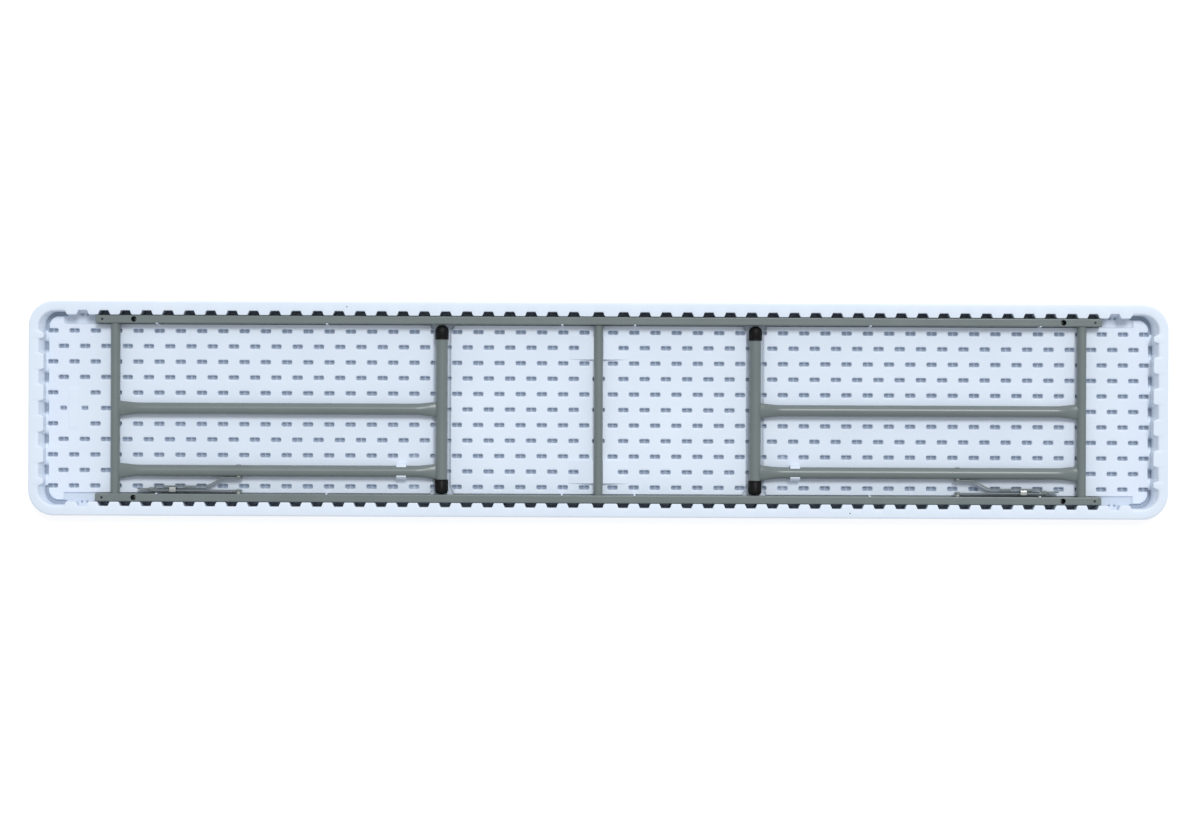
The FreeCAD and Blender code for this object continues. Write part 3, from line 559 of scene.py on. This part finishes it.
BAR_END = 195.5
CROSSBAR = (9.5, 26.0)
PIVOT = (1036.0, 10.0, 29.0)


def turned(profile, x, z, around=72):
    """Surface of revolution about an axis along Y through (x, z); profile rows are (Y, radius)."""
    profile = np.asarray(profile, float)
    angle = np.linspace(0.0, 2 * np.pi, around, endpoint=False)
    ring = np.stack([np.cos(angle), 0 * angle, np.sin(angle)], -1)
    centre = np.stack([np.full(len(profile), x), profile[:, 0], np.full(len(profile), z)], -1)
    return centre[:, None, :] + profile[:, 1][:, None, None] * ring[None]


def plain_bar(radius, start, end, rows=40):
    """Profile of a plain bar along Y, closed at both ends."""
    return [(start, 0.0)] + [(y, radius) for y in np.linspace(start, end, rows)] + [(end, 0.0)]


bar = turned(plain_bar(CROSSBAR[0], -BAR_END, BAR_END), 0.0, CROSSBAR[1])
surface("centre_crossbar_tube", [(bar, False, True)], powder, "top", ["centre_crossbar"])
for name, end in (("left", -1), ("right", 1)):
    bar = turned(plain_bar(PIVOT[1], -BAR_END, BAR_END), end * PIVOT[0], PIVOT[2])
    surface(f"{name}_pivot_bar", [(bar, False, True)], powder, f"{name}_leg",
            [f"{name}_pivot_tube"])


# Leg uprights and foot tubes: each leg is two uprights welded between the pivot tube and the foot tube.
# Round steel tube, its ends pressed to flat ovals and welded all round with a fine rippled bead, then
# powder coated as one frame.

LEG_RADIUS = 12.5
FOOT_X = 336.0
FOOT_BAR_END = 172.0
UPRIGHT_ENDS = (FOOT_X + LEG_RADIUS / 2, PIVOT[0] - PIVOT[1] / 2)
FLARE_LENGTH = 50.0
FLARE_HALF = (16.0, 5.5)
BEAD = 1.3
BEAD_RIPPLE = {"share": 0.07, "count": 36}
UPRIGHTS = (("centre_upright", 0.0), ("side_upright", -133.2))


def oval_sizes(x):
    """Half width and half height of an upright at X: round in the middle, flat oval at both ends."""
    from_end = np.minimum(UPRIGHT_ENDS[1] - x, x - UPRIGHT_ENDS[0])
    share = 0.5 * (1 + np.cos(np.pi * np.clip(from_end / FLARE_LENGTH, 0.0, 1.0)))
    return tuple(LEG_RADIUS + (half - LEG_RADIUS) * share for half in FLARE_HALF)


def upright_sheet(y):
    """Oval section carried along X from inside the foot tube to inside the pivot tube."""
    first, last = UPRIGHT_ENDS
    x = np.concatenate([first + FLARE_LENGTH * np.linspace(0, 1, 22),
                        np.linspace(first + FLARE_LENGTH, last - FLARE_LENGTH, 60)[1:-1],
                        last - FLARE_LENGTH * np.linspace(1, 0, 22)])
    angle = np.linspace(0.0, 2 * np.pi, 72, endpoint=False)
    half_y, half_z = oval_sizes(x)
    rings = np.stack([x[:, None] + 0 * angle, y + half_y[:, None] * np.cos(angle),
                      PIVOT[2] + half_z[:, None] * np.sin(angle)], -1)
    caps = np.array([[first, y, PIVOT[2]], [last, y, PIVOT[2]]])[:, None, :] + 0 * rings[:2]
    return np.concatenate([caps[:1], rings, caps[1:]])


def weld_bead(y, tube_x, tube_radius, toward):
    """A fine rippled roll carried round the line where an upright's oval meets a round tube."""
    angle = np.linspace(0.0, 2 * np.pi, 180, endpoint=False)
    half_y, half_z = oval_sizes(np.array([tube_x + toward * tube_radius]))
    up = half_z[0] * np.sin(angle)
    line = np.stack([tube_x + toward * np.sqrt(tube_radius ** 2 - up ** 2), y + half_y[0] * np.cos(angle),
                     PIVOT[2] + up], -1)
    around = np.linspace(0.0, 2 * np.pi, 10, endpoint=False)
    outward = np.stack([0 * angle, np.cos(angle), np.sin(angle)], -1)
    forward = np.array([toward, 0.0, 0.0])
    size = BEAD * (1.0 + BEAD_RIPPLE["share"] * np.sin(BEAD_RIPPLE["count"] * angle))[:, None, None]
    spread = outward[:, None, :] * np.cos(around)[None, :, None] + forward * np.sin(around)[None, :, None]
    return line[:, None, :] + size * spread


for name, end in (("left", -1), ("right", 1)):
    flip = np.array([end, 1.0, 1.0])
    for part, y in UPRIGHTS:
        sheets = [(upright_sheet(y) * flip, False, True),
                  (weld_bead(y, PIVOT[0], PIVOT[1], -1) * flip, True, True),
                  (weld_bead(y, FOOT_X, LEG_RADIUS, 1) * flip, True, True)]
        surface(f"{name}_{part}_tube", sheets, powder, f"{name}_leg", [f"{name}_{part}"])
    bar = turned(plain_bar(LEG_RADIUS, -FOOT_BAR_END, FOOT_BAR_END), end * FOOT_X, PIVOT[2])
    surface(f"{name}_foot_bar", [(bar, False, True)], powder, f"{name}_leg",
            [f"{name}_foot_tube"])


# Foot caps: the black caps pushed over both ends of each foot tube.
# Injection-moulded soft black plastic, domed at the back end and flatter in front, with a small bead round
# the mouth.

CAP_RADIUS = 14.5
CAP_CLOSED = 181.0
CAP_MOUTH = 150.0
CAP_BORE = (LEG_RADIUS + 0.05, CAP_CLOSED - 9.0)
CAPS = (("foot_cap_back", 1, 13.5), ("foot_cap_front", -1, 8.5))

# Soft black moulded plastic: dark grey, not pure black, with a fine spark-eroded grain that breaks the sheen.
black, tree, shader, place = new_material("soft_black_plastic_moulded")
grain = add(tree, "ShaderNodeTexNoise", {"Scale": 1200.0, "Detail": 2.0}, {"Vector": place})
dust = add(tree, "ShaderNodeTexNoise", {"Scale": 90.0, "Detail": 3.0}, {"Vector": place})
tone = add(tree, "ShaderNodeMix", {"data_type": "RGBA", 6: linear("#030304"), 7: linear("#090A0C")},
           {0: dust.outputs["Fac"]})
gloss = add(tree, "ShaderNodeMapRange", {"To Min": 0.42, "To Max": 0.58}, {"Value": grain.outputs["Fac"]})
relief = add(tree, "ShaderNodeBump", {"Strength": 0.4, "Distance": 0.0001}, {"Height": grain.outputs["Fac"]})
tree.links.new(tone.outputs[2], shader.inputs["Base Color"])
tree.links.new(gloss.outputs[0], shader.inputs["Roughness"])
tree.links.new(relief.outputs[0], shader.inputs["Normal"])
shader.inputs["IOR"].default_value = 1.45
shader.inputs["Specular IOR Level"].default_value = 0.25


def cap_profile(edge):
    """(Y, radius) from the closed end over its rounded edge to the mouth and back up the bore."""
    crown = bend(90, 0, 14, edge, CAP_RADIUS - edge, CAP_CLOSED - edge)[:, ::-1]
    flat = [(CAP_CLOSED, 0.0)] if edge < CAP_RADIUS - 0.1 else []
    side = [(CAP_MOUTH + 4.2, CAP_RADIUS), (CAP_MOUTH + 3.6, CAP_RADIUS - 0.35), (CAP_MOUTH + 3.0, CAP_RADIUS)]
    lip = [(CAP_MOUTH + 0.8, CAP_RADIUS), (CAP_MOUTH + 0.2, CAP_RADIUS - 0.2), (CAP_MOUTH, CAP_RADIUS - 0.8)]
    bore = [(CAP_MOUTH, CAP_BORE[0]), (CAP_BORE[1], CAP_BORE[0]), (CAP_BORE[1], 0.0)]
    return np.array(flat + crown.tolist() + side + lip + bore)


for name, end in (("left", -1), ("right", 1)):
    for part, side, edge in CAPS:
        profile = cap_profile(edge) * [side, 1]
        surface(f"{name}_{part}_shell", [(turned(profile, end * FOOT_X, PIVOT[2]), False, True)], black,
                f"{name}_leg", [f"{name}_{part}"])


# Braces: two steel straps that fold on each other, on rivets and sleeves, and a ring that locks them straight.
# Stamped strip, powder coated like the frame; rivets, sleeves and the sliding ring are zinc plated.

BRACE_X = 771.0
ELBOW_X = 958.383
STRAP_HALF = 8.0
STRAP_THICK = 3.0
UPPER_Y = -175.5
LOWER = {"y": -148.5, "past_elbow": 22.0}
LOWER_BEND = {"from": 30.0, "run": 42.0, "across": 18.1}
LOWER_STEP = {"before": 12.0, "run": 6.0, "across": 5.6}
PIN = 3.0
HEAD = (5.0, 2.0)
SLEEVE = (6.0, 0.4)
ELBOW_PIN = (-177.0, -170.5)
LINK_PIN = (-150.0, -147.0)
RAIL_PIN = (-184.0, -173.8)
RAIL_SLEEVE = (-182.5, -177.1)
LEG_PIN = (-146.7, -120.7)
LEG_SLEEVE = (-146.7, -143.0)
RING_Y = -173.85
RING_X = (904.4, 918.4)
RING_RIM = 0.4


def strap(x0, x1, path, edge=0.55):
    """Flat strap along X with half-round ends, its middle line's Y given by path; edges are eased."""
    turn = np.linspace(0.0, np.pi / 2, 12)
    x = np.unique(np.concatenate([x0 - STRAP_HALF * np.cos(turn), np.linspace(x0, x1, 140),
                                  x1 + STRAP_HALF * np.cos(turn)]))
    past = np.maximum(np.maximum(x0 - x, x - x1), 0.0)
    half = np.sqrt(np.maximum(STRAP_HALF ** 2 - past ** 2, 0.0))
    flat = np.stack([STRAP_THICK / 2 + 0 * x, np.maximum(half, edge)], -1)
    quarter = flat[:, None, :] + bend(0, 90, 4, edge, -edge, -edge)
    back = quarter[:, ::-1]
    ring = np.concatenate([quarter, back * [-1, 1], -quarter, back * [1, -1]], 1)
    up = ring[..., 1] * np.minimum(1.0, half / edge)[:, None]
    return np.stack([x[:, None] + 0 * up, path(x)[:, None] + ring[..., 0], PIVOT[2] + up], -1)


def rivet(x, start, end, heads):
    """A pin along Y with domed heads: heads is a pair saying which ends carry one."""
    dome = bend(0, 90, 8, 1.0, 0.0, 0.0)
    low = [(start - HEAD[1] * up, HEAD[0] * out) for out, up in dome[::-1]] if heads[0] else [(start, 0.0)]
    high = [(end + HEAD[1] * up, HEAD[0] * out) for out, up in dome] if heads[1] else [(end, 0.0)]
    return turned(low + [(start, PIN), (end, PIN)] + high, x, PIVOT[2], 48)


def sleeve(x, start, end):
    """A short spacer sleeve along Y with eased rims."""
    radius, rim = SLEEVE
    return turned([(start, 0.0), (start, radius - rim), (start + rim, radius), (end - rim, radius),
                   (end, radius - rim), (end, 0.0)], x, PIVOT[2], 48)


def ring_sheet():
    """Rounded rectangular loop round the straps, carried along X with eased rims."""
    quarters = ((1, 1, 0.0), (-1, 1, 90.0), (-1, -1, 180.0), (1, -1, 270.0))

    def loop(half_y, half_z, corner):
        return np.concatenate([bend(a, a + 90.0, 6, corner, sy * (half_y - corner), sz * (half_z - corner))
                               for sy, sz, a in quarters])

    outer, inner = loop(5.45, 10.3, 1.6), loop(3.45, 8.3, 0.5)
    soft = loop(5.05, 9.9, 1.3)
    near, far = RING_X
    rows = [(near + RING_RIM, outer), (far - RING_RIM, outer), (far, soft), (far, inner), (near, inner),
            (near, soft)]
    return np.stack([np.column_stack([np.full(len(section), x), section + [RING_Y, PIVOT[2]]])
                     for x, section in rows])


def lower_line(x):
    """Y of the lower strap's middle line: beside the upright, bent across, then stepped in at the elbow."""
    bent = (x - (BRACE_X + LOWER_BEND["from"])) / LOWER_BEND["run"]
    across = LOWER_BEND["across"] * (0.5 * ease(bent) + 0.5 * np.clip(bent, 0, 1))
    stepped = (x - (ELBOW_X - LOWER_STEP["before"])) / LOWER_STEP["run"]
    return LOWER["y"] - across - LOWER_STEP["across"] * ease(stepped)


for name, end in (("left", -1), ("right", 1)):
    flip = np.array([end, 1.0, 1.0])
    upper, lower, leg = f"{name}_upper_link", f"{name}_lower_link", f"{name}_leg"
    band = strap(BRACE_X, ELBOW_X, lambda x: UPPER_Y + 0 * x)
    surface(f"{name}_upper_strap", [(band * flip, False, True)], powder, upper, [upper])
    band = strap(BRACE_X, ELBOW_X + LOWER["past_elbow"], lower_line)
    surface(f"{name}_lower_strap", [(band * flip, False, True)], powder, lower, [lower])
    for part, node, body, sheet in (
            ("elbow_pin", "elbow_rivet", upper, rivet(ELBOW_X, *ELBOW_PIN, (True, True))),
            ("link_pin", "link_rivet_head", lower, rivet(BRACE_X, *LINK_PIN, (True, False))),
            ("rail_pin", "rail_rivet", "top", rivet(BRACE_X, *RAIL_PIN, (True, True))),
            ("rail_sleeve", "rail_spacer", "top", sleeve(BRACE_X, *RAIL_SLEEVE)),
            ("leg_pin", "leg_rivet", leg, rivet(BRACE_X, *LEG_PIN, (False, True))),
            ("leg_sleeve", "leg_spacer", leg, sleeve(BRACE_X, *LEG_SLEEVE))):
        surface(f"{name}_{part}", [(sheet * flip, False, True)], zinc, body, [f"{name}_{node}"])
    surface(f"{name}_sliding_ring", [(ring_sheet() * flip, True, True)], zinc, f"{name}_lock_ring",
            [f"{name}_lock_ring"])


# Setting: a bright plain floor, soft daylight from the back side, and the camera straight above.
# The floor glows a little, so that it stays nearly white and shadows on it stay faint; a low strip light
# behind the table gives the tubes their long highlight lines.

FLOOR_HALF = 30.0
FLOOR_Z = -0.0006

floor_mesh = bpy.data.meshes.new("floor")
floor_corners = [(x * FLOOR_HALF, y * FLOOR_HALF, FLOOR_Z) for x, y in ((-1, -1), (1, -1), (1, 1), (-1, 1))]
floor_mesh.from_pydata(floor_corners, [], [(0, 1, 2, 3)])
floor = bpy.data.objects.new("floor", floor_mesh)
bpy.context.scene.collection.objects.link(floor)
paper, _, shader, _ = new_material("white_paper_sweep")
shader.inputs["Base Color"].default_value = linear("#A0A1A3")
shader.inputs["Roughness"].default_value = 0.9
shader.inputs["Emission Color"].default_value = linear("#FFFFFF")
shader.inputs["Emission Strength"].default_value = 0.76
floor_mesh.materials.append(paper)

world = bpy.data.worlds.new("even_daylight")
world.use_nodes = True
world.node_tree.nodes["Background"].inputs["Color"].default_value = (0.97, 0.985, 1.0, 1.0)
world.node_tree.nodes["Background"].inputs["Strength"].default_value = 0.56
bpy.context.scene.world = world


def lamp(name, kind, settings, place, turn):
    """A light with its settings, its place in metres and its turn in degrees."""
    light = bpy.data.lights.new(name, kind)
    for key, value in settings.items():
        setattr(light, key, value)
    piece = bpy.data.objects.new(name, light)
    piece.location = place
    piece.rotation_euler = [math.radians(angle) for angle in turn]
    bpy.context.scene.collection.objects.link(piece)


lamp("window", "SUN", {"energy": 1.5, "angle": math.radians(18.0)}, (0.0, 0.0, 0.0), (-25.0, 9.5, 0.0))
lamp("low_strip", "AREA", {"shape": "RECTANGLE", "size": 7.0, "size_y": 0.7, "energy": 42.0},
     (1.6, 5.0, 1.1), (-78.0, 0.0, -17.0))

camera_data = bpy.data.cameras.new("camera")
camera_data.lens = 84.15
camera_data.sensor_width = 36.0
camera_data.clip_end = 100.0
camera = bpy.data.objects.new("camera", camera_data)
camera.location = (0.0034, -0.0030, 6.045)
camera.rotation_euler = (0.0, 0.0, math.radians(0.23))
bpy.context.scene.collection.objects.link(camera)
bpy.context.scene.camera = camera
bpy.context.scene.view_settings.view_transform = "Standard"
bpy.context.scene.view_settings.look = "None"
